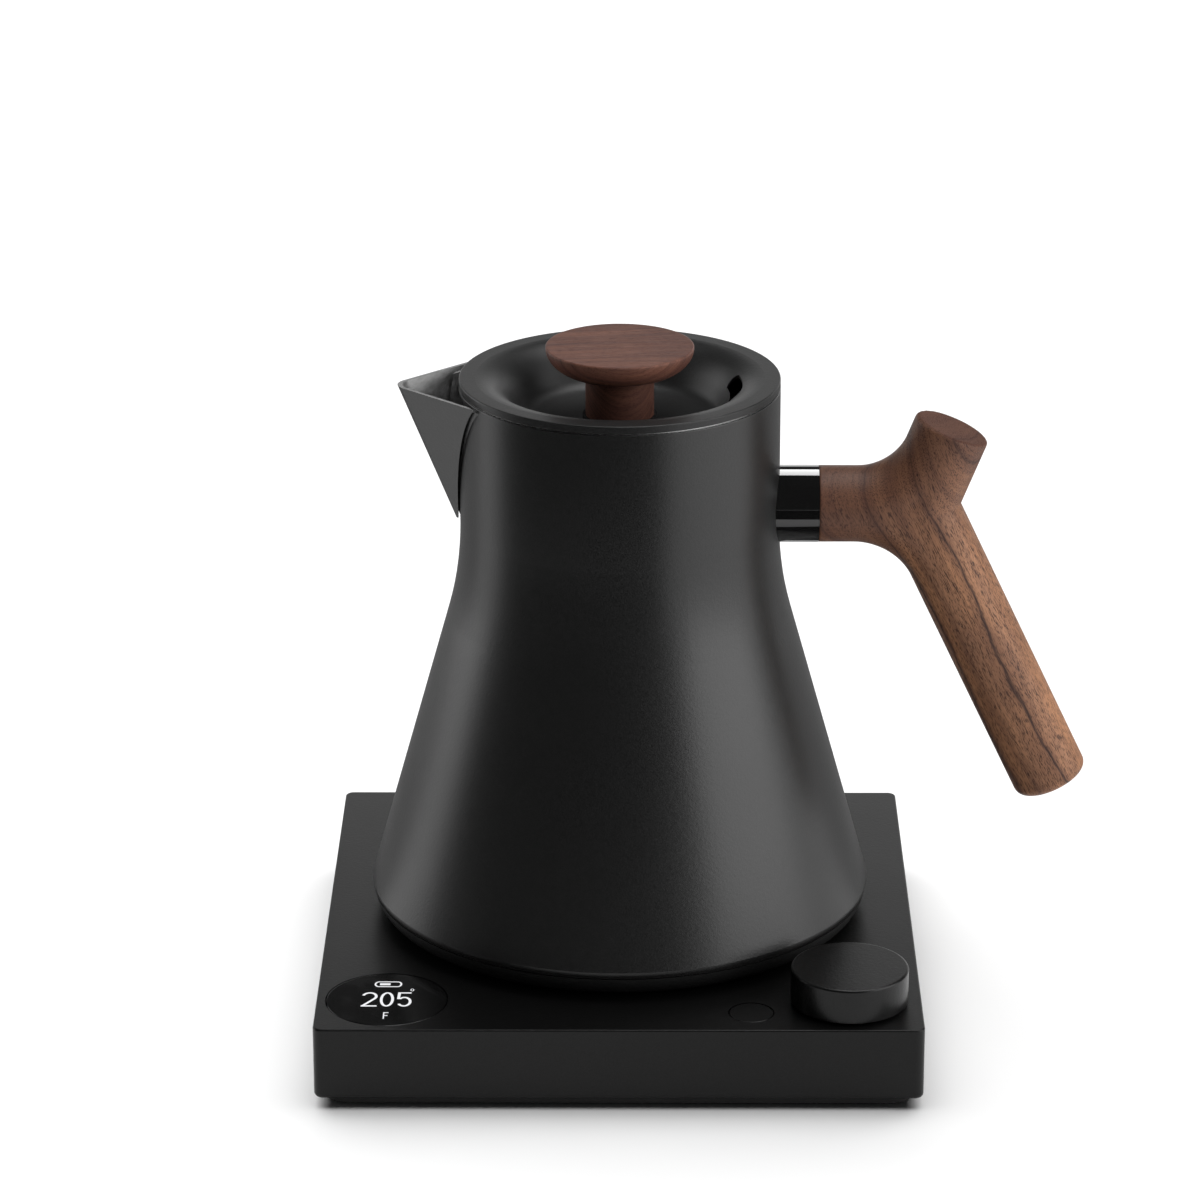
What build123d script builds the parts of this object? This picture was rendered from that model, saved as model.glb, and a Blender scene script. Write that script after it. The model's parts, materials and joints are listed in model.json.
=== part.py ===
"""Electric pour-over kettle: a conical steel kettle with an open V spout and a walnut handle, a dished
lid with a walnut knob, and a low square power base with a display, a push-and-turn dial and a button.

Millimetres. +Z is up and +X points at the handle. The origin is the centre of the base's footprint on
the worktop. The kettle stands on its own vertical axis, a little behind the base's centre.
"""
import math
import os

from build123d import *

# --- cutting ---
OVERCUT = 1.0  # how far a cutting solid passes the face that it cuts
OVERLAP = 0.1  # how far joined solids reach into each other
PRESS_FIT = 0.02

# --- base casing ---
BASE_SIDE = 172.0
BASE_TOP = 25.0
CASE_BOTTOM = 3.4
CASE_CORNER = 2.5
CASE_WALL = 2.2
CASE_INNER_CORNER = 1.0
CASE_TOP_ROUND = 0.5
CASE_BOTTOM_ROUND = 1.4
CASE_ROOF = BASE_TOP - CASE_WALL
COVER_INSET = 2.5
COVER_CORNER = 7.0
COVER_SHEET = 2.0
COVER_TOP = 5.4
FOOT_HEIGHT = 1.2
FOOT_SIDE = 158.0
FOOT_WIDTH = 8.0
FOOT_OUTER_CORNER = 6.0
FOOT_INNER_CORNER = 3.0
CASE_SCREW_AT = 79.0
CASE_BOSS_R = 2.9
CASE_BOSS_BOTTOM = 5.6
CASE_SCREW_R = 1.2
CASE_SCREW_HEAD_R = 2.3
CASE_SCREW_HEAD = 1.7
CASE_SCREW_TOP = 14.5
COVER_WELL_R = 3.4
BOARD_THICKNESS = 1.6
CONTROL_BOARD_Z = 14.0
CONTROL_BOARD_TOP = CONTROL_BOARD_Z + BOARD_THICKNESS
CONTROL_BOARD_SIZE = (146, 33)
CONTROL_BOARD_AT = (0, -65.5)
POWER_BOARD_Z = 8.0
POWER_BOARD_TOP = POWER_BOARD_Z + BOARD_THICKNESS
POWER_BOARD_SIZE = (120, 40)
CONTROL_POSTS = [(-38, -76.5), (-38, -53.5), (50, -53.5), (18, -76.5)]
POWER_BOARD_Y = 54.0
POWER_POSTS = [(-56, 38), (56, 38), (-56, 70), (56, 70)]
POST_SCREW_R = 1.05
POST_SCREW_HEAD_R = 2.3
TERMINALS_AT = (24, 65)
TERMINAL_SPACING = 8.0
CORD_Z = 13.0
CORD_BUSH_R = 5.5
CORD_BORE_R = 3.6
CORD_BUSH_LENGTH = 10.4
CORD_BUSH_PROUD = 0.4
CORD_BUSH_OUTER_FLANGE = 1.0
CORD_BUSH_INNER_FLANGE = 1.6

# --- controls on the base's top ---
DISPLAY_AT = (-66.0, -66.0)
DISPLAY_R = 17.2
DISPLAY_GAP = 0.3
DISPLAY_LEDGE_R = 16.0
DISPLAY_GLASS = 1.4
DISPLAY_EDGE_ROUND = 0.25
DISPLAY_MODULE_R = 13.6
DISPLAY_MODULE_BOTTOM = 17.6
DISPLAY_GLASS_BOTTOM = 20.5
DIAL_AT = (65.4, -66.9)
DIAL_R = 16.7
DIAL_BOTTOM = 26.0
DIAL_TOP = 36.0
DIAL_WALL = 2.2
DIAL_ROOF = 3.0
DIAL_EDGE_ROUND = 0.7
DIAL_BOSS_R = 5.5
DIAL_BOSS_BOTTOM = 28.6
SHAFT_R = 3.0
SHAFT_TOP = 32.6
SHAFT_FLAT_Y = 2.1
RUNNING_FIT = 0.05
BUTTON_AT = (37.4, -74.3)
BUTTON_R = 6.3
BUTTON_GAP = 0.25
BUTTON_EDGE_ROUND = 0.3
BUTTON_FLANGE = 1.5
BUTTON_STEM_R = 2.0
ENCODER_SIDE = 12.4
ENCODER_TOP = 21.8
ENCODER_BUSH_R = 3.8
ENCODER_BUSH_TOP = 27.2
ENCODER_NUT_R = 6.2
ENCODER_NUT = 1.6
ENCODER_FLOOR = 16.4
ENCODER_WELL_R = 4.2
ENCODER_WELL_TOP = 20.4
PLUNGER_R = 3.6
PLUNGER_BOTTOM = 18.4
SHAFT_BOTTOM = 19.2
SWITCH_PLUNGER_TOP = 20.1
SWITCH_PLUNGER_R = 1.7
SWITCH_DOME_R = 2.4
SWITCH_DOME_SHEET = 0.12
SWITCH_DOME_TOP = 18.3
SWITCH_WELL = 17.4
SWITCH_WELL_R = 2.6
SWITCH_WELL_TOP = 18.6
SWITCH_SIDE = 6.0
SWITCH_TOP = 19.1

# --- 360 degree power connector ---
HUB_R = 13.0
HUB_TOP = 33.0
HUB_BOTTOM = 14.0
HUB_NECK_R = 17.0
HUB_FLANGE_R = 22.0
HUB_FLANGE = 2.2
HUB_EDGE_ROUND = 0.8
HUB_WELL_BOTTOM = 20.0
HUB_HOLE_R = 2.4
HUB_SLOT = (10.0, 7.9)
HUB_PIN_R = 1.5
HUB_BLADE = (9.9, 9.5)
HUB_BLADE_TOP = 27.0
SOCKET_CLEARANCE = 0.6
SOCKET_R = 19.8
SOCKET_ROOF_Z = HUB_TOP + 1.0
SOCKET_ROOF = 2.0
SOCKET_FLANGE_R = 24.0
SOCKET_FLANGE = 1.6
SOCKET_PIN_R = 1.8
SOCKET_PIN_BOTTOM = 27.5
SOCKET_BLADE = (9.3, 8.6)
SOCKET_BLADE_BOTTOM = 28.5

# --- kettle body, turned about the kettle's own axis ---
KETTLE_Y = 6.0
NECK_R = 46.15
BODY_TOP = 185.2
SHOULDER_Z = 130.26
FLARE_SLOPE = 0.280
NECK_BLEND_R = 102.0
WALL = 1.0
BODY_RIM_ROUND = 0.3
HEM_START_Z = 33.8
SEAM_R = 72.85
SEAM_Z = 31.8
SEAM_GAP = 0.25
REST_GAP = 0.3
UNDERSIDE_Z = BASE_TOP + REST_GAP
UNDERSIDE_SHEET = 2.4
UNDERSIDE_FLAT_R = 66.0
UNDERSIDE_HOLE_R = 20.2
FLOOR_Z = 44.0
FLOOR_SHEET = 0.9
FLOOR_LIP = 6.0
FLOOR_SET_IN = 1.1
SPREADER_THICKNESS = 3.0
SPREADER_R = 52.0
SPREADER_HOLE_R = 5.0
ELEMENT_R = 38.0
ELEMENT_TUBE_R = 3.4
ELEMENT_GAP_ANGLE = 24.0
ELEMENT_PIN_R = 1.2
ELEMENT_PIN_LENGTH = 8.0
CUTOUT_AT = (-26, 0)
CUTOUT_R = 6.3
CUTOUT_HEIGHT = 5.0
PROBE_R = 2.9
PROBE_HOLE_R = 3.2
PROBE_REACH_UP = 7.0
PROBE_REACH_DOWN = 6.0
PROBE_FLANGE_R = 6.2
PROBE_FLANGE = 1.2
PROBE_SEAL_R = 6.0
PROBE_SEAL = 1.2
POST_CIRCLE_R = 60.0
POST_R = 3.2
POST_BORE_R = 1.5
COVER_SCREW_R = 1.45
COVER_SCREW_LENGTH = 10.0
COVER_SCREW_HEAD_R = 2.8
COVER_SCREW_WELL = 1.4

# --- V spout, a folded sheet whose faces all meet in one point low on the body ---
SPOUT_RIM_Z = 185.3
SPOUT_APEX_X = -66.0
SPOUT_FOOT_X = -46.9
SPOUT_FOOT_Z = 144.0
SPOUT_HALF_ANGLE = 44.0
SPOUT_FOLD_R = 5.2
SPOUT_SHEET = 1.0
SPOUT_BACK_X = -30.0
SPOUT_SHADOW_GAP = (0.45, 1.5)
RIM_BAND_BOTTOM = 184.0

# --- handle ---
HANDLE_Z = 149.25
HANDLE_R = 11.1
COLLAR_R = 11.15
COLLAR_WALL = 2.0
COLLAR_END_WALL = 2.4
COLLAR_END_X = 57.4
LIMB_JOIN_X = 86.4
GRIP_END = (127.5, 63.1)
GRIP_BEND_R = 30.5
GRIP_END_ROUND = 2.6
BRANCH_END = (95.6, 172.4)
BRANCH_BEND_R = 26.5
BRANCH_END_ROUND = 0.8
STUD_R = 3.0
STUD_REACH = 20.0
STUD_FOOT_R = 7.0
STUD_FOOT = 2.6
STUD_CLEARANCE = 0.3
INSERT_R = 5.0
INSERT_LENGTH = 17.0

# --- lid ---
LID_R = 46.1
LID_TOP = 187.8
LID_BOTTOM = 185.7
LID_EDGE_ROUND = 0.4
DISH_FLOOR_Z = 175.4
DISH_FLOOR_R = 23.0
DISH_RIM_R = 41.5
LID_SHEET = 1.0
PLUG_R = 43.9
PLUG_SHEET = 0.6
PLUG_BOTTOM = 175.9
PLUG_INNER_R = 28.6
PLUG_FLANGE_R = 45.4
SEAL_R = 44.95
SEAL_BOTTOM = 179.0
SEAL_TOP = 182.0
SEAL_BEVEL = 0.4
VENT_R = 33.4
VENT_WIDTH = 3.6
VENT_HALF_ANGLE = 12.0
KNOB_R = 21.3
KNOB_TOP = 197.0
KNOB_STEM_R = 9.85
KNOB_BOWL_DEPTH = 7.9
KNOB_EDGE_ROUND = 0.5
KNOB_WASHER_TOP = 176.6
KNOB_WASHER_R = 10.7
KNOB_SCREW_R = 2.0
KNOB_SCREW_HEAD_R = 4.2
KNOB_SCREW_HEAD = 2.2
KNOB_HOLE_CLEARANCE = 0.2
KNOB_HOLE_DEPTH = 6.0
HEX_KEY_R = 1.6
HEX_KEY_DEPTH = 1.2


# ---------------------------------------------------------------- helpers

def turned(*points):
    """A closed outline of (radius, height) points, turned about Z."""
    return revolve(Plane.XZ * make_face(Polyline(*points, close=True)), Axis.Z)


def turned_lines(lines):
    """A closed outline of joined lines and arcs in (radius, height), turned about Z."""
    return revolve(Plane.XZ * make_face(lines), Axis.Z)


def disc(radius, bottom, top, at=(0, 0)):
    """A vertical cylinder between two heights."""
    return Pos(at[0], at[1], (bottom + top) / 2) * Cylinder(radius, top - bottom)


def ring(outer, inner, bottom, top, at=(0, 0)):
    """A vertical tube between two heights."""
    return disc(outer, bottom, top, at) - disc(inner, bottom - OVERCUT, top + OVERCUT, at)


def block(x_size, y_size, bottom, top, at=(0, 0)):
    """An upright box between two heights."""
    return Pos(at[0], at[1], (bottom + top) / 2) * Box(x_size, y_size, top - bottom)


def rounded_slab(side, corner, bottom, top):
    """A square plate with rounded corners between two heights."""
    return Pos(0, 0, bottom) * extrude(RectangleRounded(side, side, corner), top - bottom)


def group(parts):
    """Several separate solids in one node."""
    return Compound([solid for part in parts for solid in part.solids()])


def on_kettle_axis(shape):
    """Moves a shape that was turned about Z onto the kettle's axis."""
    return Pos(0, KETTLE_Y, 0) * shape


def along_x(radius, start, end):
    """A horizontal cylinder along X at the handle's height."""
    return Pos((start + end) / 2, 0, HANDLE_Z) * Rot(0, 90, 0) * Cylinder(radius, end - start)


def rounded_top(shape, radius):
    """The shape with its highest circular edge rounded."""
    return fillet(shape.edges().filter_by(GeomType.CIRCLE).sort_by(Axis.Z)[-1], radius)


def corners(distance):
    """The four points of a square, this far from its middle lines."""
    return [(x, y) for x in (-distance, distance) for y in (-distance, distance)]


def around(radius, count, start_angle=0.0):
    """Points equally spaced on a circle."""
    angles = [math.radians(start_angle + 360 * i / count) for i in range(count)]
    return [(radius * math.cos(a), radius * math.sin(a)) for a in angles]


# ---------------------------------------------------------------- kettle body

def flare_r(z):
    """Outer radius of the straight flare at height z."""
    return NECK_R + FLARE_SLOPE * (SHOULDER_Z - z)


def body_shell(inset, top):
    """The outline of the body's skin, moved inwards by inset, as a solid down to the seam."""
    slant = math.hypot(1, FLARE_SLOPE)
    shoulder_z = SHOULDER_Z - inset * (slant - 1) / FLARE_SLOPE
    side = FilletPolyline(
        (NECK_R - inset, top),
        (NECK_R - inset, shoulder_z),
        (flare_r(HEM_START_Z) - inset * slant, HEM_START_Z),
        radius=NECK_BLEND_R + inset,
    )
    hem = TangentArc(side @ 1, (SEAM_R - inset, SEAM_Z), tangent=side % 1)
    closing = Polyline(hem @ 1, (0, SEAM_Z), (0, top), side @ 0)
    return turned_lines(side + hem + closing)


def make_kettle_body():
    """The spun steel shell, open at the seam below and cut through where the spout starts."""
    skin = rounded_top(body_shell(0, BODY_TOP), BODY_RIM_ROUND)
    inside = body_shell(WALL, BODY_TOP) + disc(NECK_R - WALL, BODY_TOP - OVERCUT, BODY_TOP + OVERCUT)
    inside += disc(SEAM_R - WALL, SEAM_Z - OVERCUT, SEAM_Z + OVERLAP)
    mouth = spout_wedge(SPOUT_SHEET) & disc(NECK_R * 2, 0, RIM_BAND_BOTTOM)
    return skin - inside - mouth


def make_kettle_floor():
    """A pressed floor with a turned-up edge that lies against the flare."""
    wall_r = flare_r(FLOOR_Z) - FLOOR_SET_IN
    lip_top = FLOOR_Z + FLOOR_LIP
    lip_r = flare_r(lip_top) - FLOOR_SET_IN
    upper = FLOOR_Z + FLOOR_SHEET
    floor = turned(
        (0, FLOOR_Z), (wall_r, FLOOR_Z), (lip_r, lip_top), (lip_r - FLOOR_SHEET, lip_top),
        (wall_r - FLOOR_SHEET * math.hypot(1, FLARE_SLOPE), upper), (0, upper),
    )
    return floor - disc(PROBE_HOLE_R, FLOOR_Z - OVERCUT, upper + OVERCUT)


def make_heat_spreader():
    """The plate that shares the element's heat out under the floor."""
    return ring(SPREADER_R, SPREADER_HOLE_R, FLOOR_Z - SPREADER_THICKNESS, FLOOR_Z)


def make_heating_element():
    """A C-shaped tube under the spreader, with a thin terminal pin on each end."""
    z = FLOOR_Z - SPREADER_THICKNESS - ELEMENT_TUBE_R
    line = Pos(0, 0, z) * CenterArc((0, 0), ELEMENT_R, ELEMENT_GAP_ANGLE, 360 - 2 * ELEMENT_GAP_ANGLE)
    tube = sweep(Plane(origin=line @ 0, z_dir=line % 0) * Circle(ELEMENT_TUBE_R), path=line)
    pin = Pos(0, 0, ELEMENT_PIN_LENGTH / 2) * Cylinder(ELEMENT_PIN_R, ELEMENT_PIN_LENGTH)
    pins = [Plane(origin=line @ end, z_dir=(line % end) * (2 * end - 1)) * pin for end in (0, 1)]
    return tube + pins


def make_thermal_cutout():
    """A round snap switch against the spreader, with two blade terminals."""
    top = FLOOR_Z - SPREADER_THICKNESS
    bottom = top - CUTOUT_HEIGHT
    blade_x, blade_y, blade_length, blade_offset = 0.8, 4.0, 4.0, 3.0
    can = disc(CUTOUT_R, bottom, top, CUTOUT_AT)
    for side in (-blade_offset, blade_offset):
        can += block(blade_x, blade_y, bottom - blade_length, bottom, (CUTOUT_AT[0] + side, CUTOUT_AT[1]))
    return can


def make_temperature_probe():
    """A round-nosed probe through the floor, with a flange that holds its seal down."""
    flange_z = FLOOR_Z + FLOOR_SHEET + PROBE_SEAL
    nose_z = FLOOR_Z + PROBE_REACH_UP
    body = disc(PROBE_R, FLOOR_Z - PROBE_REACH_DOWN, nose_z) + Pos(0, 0, nose_z) * Sphere(PROBE_R)
    return body + disc(PROBE_FLANGE_R, flange_z, flange_z + PROBE_FLANGE)


def make_probe_seal():
    """A flat ring between the floor and the probe's flange."""
    bottom = FLOOR_Z + FLOOR_SHEET
    return ring(PROBE_SEAL_R, PROBE_R, bottom, bottom + PROBE_SEAL)


def post_places():
    """Where the posts that hold the bottom cover stand."""
    return around(POST_CIRCLE_R, 3, 90)


def make_cover_posts():
    """Tubes between the floor and the bottom cover, tapped for the cover's screws."""
    foot = UNDERSIDE_Z + UNDERSIDE_SHEET
    return group([ring(POST_R, POST_BORE_R, foot, FLOOR_Z, at) for at in post_places()])


def make_cover_screws():
    """The cover's screws, with their heads sunk in its wells."""
    seat = UNDERSIDE_Z + COVER_SCREW_WELL
    head_bottom = UNDERSIDE_Z + 0.2
    return group([
        disc(COVER_SCREW_HEAD_R, head_bottom, seat, at)
        + disc(COVER_SCREW_R, seat, seat + COVER_SCREW_LENGTH, at)
        for at in post_places()
    ])


def make_kettle_bottom_cover():
    """A dished plastic cover: its rounded edge carries on from the body's hem."""
    floor_z = UNDERSIDE_Z + UNDERSIDE_SHEET
    lip_z = SEAM_Z - SEAM_GAP
    lip = 1.6
    outer_bulge = (SEAM_R - 2.0, UNDERSIDE_Z + 1.9)
    inner_bulge = (SEAM_R - 3.6, UNDERSIDE_Z + 3.4)
    outer = ThreePointArc((SEAM_R, lip_z), outer_bulge, (UNDERSIDE_FLAT_R, UNDERSIDE_Z))
    inner = ThreePointArc((UNDERSIDE_FLAT_R, floor_z), inner_bulge, (SEAM_R - lip, lip_z))
    hole = Polyline(outer @ 1, (UNDERSIDE_HOLE_R, UNDERSIDE_Z), (UNDERSIDE_HOLE_R, floor_z), inner @ 0)
    cover = turned_lines(outer + hole + inner + Line(inner @ 1, outer @ 0))
    for at in post_places():
        cover -= disc(POST_R, UNDERSIDE_Z - OVERCUT, UNDERSIDE_Z + COVER_SCREW_WELL, at)
        cover -= disc(COVER_SCREW_R + 0.25, UNDERSIDE_Z - OVERCUT, floor_z + OVERCUT, at)
    return cover


def make_kettle_socket():
    """The round socket under the kettle, a cup that drops over the base's power hub."""
    bottom = UNDERSIDE_Z + 0.1
    flange_z = UNDERSIDE_Z + UNDERSIDE_SHEET
    cup = disc(SOCKET_R, bottom, SOCKET_ROOF_Z + SOCKET_ROOF)
    cup += disc(SOCKET_FLANGE_R, flange_z, flange_z + SOCKET_FLANGE)
    return cup - disc(HUB_R + SOCKET_CLEARANCE, bottom - OVERCUT, SOCKET_ROOF_Z)


def make_socket_contacts():
    """A centre pin and one ring blade hanging from the socket's roof."""
    pin = disc(SOCKET_PIN_R, SOCKET_PIN_BOTTOM, SOCKET_ROOF_Z)
    return group([pin, ring(*SOCKET_BLADE, SOCKET_BLADE_BOTTOM, SOCKET_ROOF_Z)])


# ---------------------------------------------------------------- spout

def spout_section(share):
    """The V's outline at a share of the height from its foot (0) to its rim (1)."""
    apex = SPOUT_FOOT_X + share * (SPOUT_APEX_X - SPOUT_FOOT_X)
    back = SPOUT_FOOT_X + share * (SPOUT_BACK_X - SPOUT_FOOT_X)
    half = (back - apex) * math.tan(math.radians(SPOUT_HALF_ANGLE))
    vee = FilletPolyline((back, half), (apex, 0), (back, -half), radius=SPOUT_FOLD_R * share)
    face = make_face(vee + Line(vee @ 1, vee @ 0))
    return Pos(0, 0, SPOUT_FOOT_Z + share * (SPOUT_RIM_Z - SPOUT_FOOT_Z)) * face


def spout_wedge(inset):
    """The solid inside the V, with its two faces moved inwards by inset."""
    shift = inset / math.sin(math.radians(SPOUT_HALF_ANGLE))
    return Pos(shift, 0, 0) * loft([spout_section(0.02), spout_section(1)], ruled=True)


def make_pour_spout():
    """The outer V stops just short of the body. An inner lip carries on through the body's wall."""
    seam = 0.05
    bore_r = NECK_R - WALL - 0.2
    lip_reach_r = NECK_R + 4.0
    lift = Pos(0, 0, 0.01)
    height = SPOUT_RIM_Z - SPOUT_FOOT_Z
    foot_gap, rim_gap = SPOUT_SHADOW_GAP
    shadow_gap = Cone(NECK_R + foot_gap, NECK_R + rim_gap, height + 2 * OVERCUT)
    sheet = spout_wedge(0) - lift * spout_wedge(SPOUT_SHEET)
    sheet -= Pos(0, 0, SPOUT_FOOT_Z + height / 2) * shadow_gap
    lip = spout_wedge(SPOUT_SHEET) - lift * spout_wedge(2 * SPOUT_SHEET)
    lip &= disc(lip_reach_r, 0, RIM_BAND_BOTTOM - seam) - disc(bore_r, -OVERCUT, BODY_TOP + OVERCUT)
    return sheet + lip


# ---------------------------------------------------------------- handle

def straight_limb(end):
    """A round limb straight from the join to its end."""
    path = Plane.XZ * Line((LIMB_JOIN_X, HANDLE_Z), end)
    return extrude(Plane(origin=path @ 0, z_dir=path % 0) * Circle(HANDLE_R), path.length)


def inner_bend(end, bend_r):
    """A bent round, a hair thinner than the limbs, that fills the corner between the stub and a limb."""
    share = 0.8
    thinner = 0.05
    stop = (
        LIMB_JOIN_X + share * (end[0] - LIMB_JOIN_X),
        HANDLE_Z + share * (end[1] - HANDLE_Z),
    )
    path = Plane.XZ * FilletPolyline(
        (COLLAR_END_X + 0.5, HANDLE_Z), (LIMB_JOIN_X, HANDLE_Z), stop, radius=bend_r
    )
    return sweep(Plane(origin=path @ 0, z_dir=path % 0) * Circle(HANDLE_R - thinner), path=path)


def make_handle():
    """Three limbs of one branch: the outer sides run straight to the join, the inner sides are blended."""
    wood = along_x(HANDLE_R, COLLAR_END_X, LIMB_JOIN_X)
    wood += straight_limb(GRIP_END)
    wood += straight_limb(BRANCH_END)
    wood += inner_bend(GRIP_END, GRIP_BEND_R)
    wood += inner_bend(BRANCH_END, BRANCH_BEND_R)
    ends = wood.faces().filter_by(GeomType.PLANE).sort_by(Axis.Z)
    wood = fillet(ends[0].edges(), GRIP_END_ROUND)
    ends = wood.faces().filter_by(GeomType.PLANE).sort_by(Axis.Z)
    wood = fillet(ends[-1].edges(), BRANCH_END_ROUND)
    wood -= along_x(INSERT_R + PRESS_FIT, COLLAR_END_X - OVERCUT, COLLAR_END_X + INSERT_LENGTH + 0.5)
    return wood - along_x(STUD_R + STUD_CLEARANCE, COLLAR_END_X, COLLAR_END_X + STUD_REACH + 3)


def make_handle_collar():
    """A tube whose inner end is saddled to the body. Its outer end is closed around the stud."""
    start = NECK_R - 6
    tube = along_x(COLLAR_R, start, COLLAR_END_X)
    tube -= along_x(COLLAR_R - COLLAR_WALL, start - OVERCUT, COLLAR_END_X - COLLAR_END_WALL)
    tube -= along_x(STUD_R + STUD_CLEARANCE, NECK_R, COLLAR_END_X + OVERCUT)
    return tube - body_shell(0, BODY_TOP)


def make_handle_stud():
    """A threaded stud with a saddled foot that is welded to the body."""
    foot = along_x(STUD_FOOT_R, NECK_R - 6, NECK_R + STUD_FOOT) - body_shell(0, BODY_TOP)
    return foot + along_x(STUD_R, NECK_R + 1, COLLAR_END_X + STUD_REACH)


def make_handle_insert():
    """A sleeve set in the wood, in which the stud is screwed."""
    sleeve = along_x(INSERT_R, COLLAR_END_X + 0.4, COLLAR_END_X + INSERT_LENGTH)
    return sleeve - along_x(STUD_R + PRESS_FIT, COLLAR_END_X, COLLAR_END_X + INSERT_LENGTH + OVERCUT)


# ---------------------------------------------------------------- lid

def dish_curve(drop):
    """The dish's side from the lid's flat rim to its floor, lowered by drop."""
    rim_z = LID_TOP - drop
    floor_z = DISH_FLOOR_Z - drop
    shoulder = (35.2, rim_z - 2.2)
    foot = (30.5, floor_z + 5.0)
    rim_slope, floor_slope = (-1, -0.03), (-1, 0)
    return Spline(
        (DISH_RIM_R, rim_z - 0.05), shoulder, foot, (DISH_FLOOR_R, floor_z), tangents=(rim_slope, floor_slope)
    )


def make_lid_top():
    """A pressed dish with a short turned-down rim, a screw hole and a curved steam vent."""
    hole_r = KNOB_SCREW_R + KNOB_HOLE_CLEARANCE
    inner_r = LID_R - LID_SHEET
    top = dish_curve(0)
    under = dish_curve(LID_SHEET)
    corner = CenterArc((LID_R - LID_EDGE_ROUND, LID_TOP - LID_EDGE_ROUND), LID_EDGE_ROUND, 0, 90)
    lines = corner + Line(corner @ 1, top @ 0) + top
    lines += Polyline(top @ 1, (hole_r, DISH_FLOOR_Z), (hole_r, DISH_FLOOR_Z - LID_SHEET), under @ 1)
    lines += under + Polyline(
        under @ 0, (inner_r, LID_TOP - LID_SHEET), (inner_r, LID_BOTTOM), (LID_R, LID_BOTTOM), corner @ 0
    )
    return turned_lines(lines) - vent_slot(DISH_FLOOR_Z - 2 * OVERCUT, LID_TOP + OVERCUT)


def vent_slot(bottom, top):
    """A curved slot on the handle's side of the lid, concentric with it."""
    arc = CenterArc((0, 0), VENT_R, -VENT_HALF_ANGLE, 2 * VENT_HALF_ANGLE)
    return Pos(0, 0, bottom) * extrude(SlotArc(arc, VENT_WIDTH), top - bottom)


def make_lid_plug():
    """The lid's inner skin: a skirt inside the neck, closed below against the dish."""
    flange_z = BODY_TOP + 0.05
    upper = PLUG_BOTTOM + PLUG_SHEET
    plug = turned(
        (PLUG_FLANGE_R, LID_BOTTOM), (PLUG_FLANGE_R, flange_z), (PLUG_R, flange_z), (PLUG_R, PLUG_BOTTOM),
        (PLUG_INNER_R, PLUG_BOTTOM), (PLUG_INNER_R, upper), (PLUG_R - PLUG_SHEET, upper),
        (PLUG_R - PLUG_SHEET, LID_BOTTOM),
    )
    return plug - vent_slot(PLUG_BOTTOM - OVERCUT, PLUG_BOTTOM + OVERCUT)


def make_lid_seal():
    """A bevelled silicone ring on the plug."""
    middle = (SEAL_BOTTOM + SEAL_TOP) / 2
    edge_r = SEAL_R - SEAL_BEVEL
    return turned(
        (PLUG_R, SEAL_BOTTOM), (edge_r, SEAL_BOTTOM), (SEAL_R, middle), (edge_r, SEAL_TOP), (PLUG_R, SEAL_TOP)
    )


def make_lid_knob():
    """A turned mushroom: a straight stem, a bowl-shaped underside and a nearly flat top."""
    edge_z = KNOB_TOP - KNOB_EDGE_ROUND
    stem = Line((KNOB_STEM_R, KNOB_WASHER_TOP), (KNOB_STEM_R, edge_z - KNOB_BOWL_DEPTH))
    bowl = EllipticalCenterArc(
        (KNOB_STEM_R, edge_z), KNOB_R - KNOB_STEM_R, KNOB_BOWL_DEPTH, start_angle=270, arc_size=90
    )
    crown = CenterArc((KNOB_R - KNOB_EDGE_ROUND, edge_z), KNOB_EDGE_ROUND, 0, 90)
    top = Polyline(crown @ 1, (0, KNOB_TOP), (0, KNOB_WASHER_TOP), stem @ 0)
    knob = turned_lines(stem + bowl + crown + top)
    return knob - disc(KNOB_SCREW_R + 0.1, KNOB_WASHER_TOP - OVERCUT, KNOB_TOP - KNOB_HOLE_DEPTH)


def make_knob_washer():
    """A flat ring between the knob's stem and the dish."""
    return ring(KNOB_WASHER_R, KNOB_SCREW_R + KNOB_HOLE_CLEARANCE, DISH_FLOOR_Z, KNOB_WASHER_TOP)


def make_knob_screw():
    """A cap screw up through the lid into the knob."""
    seat = DISH_FLOOR_Z - LID_SHEET
    bottom = seat - KNOB_SCREW_HEAD
    key = Pos(0, 0, bottom) * extrude(RegularPolygon(HEX_KEY_R, 6), HEX_KEY_DEPTH)
    head = disc(KNOB_SCREW_HEAD_R, bottom, seat) - key
    return head + disc(KNOB_SCREW_R, seat, KNOB_TOP - KNOB_HOLE_DEPTH - OVERCUT)


# ---------------------------------------------------------------- base

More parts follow.
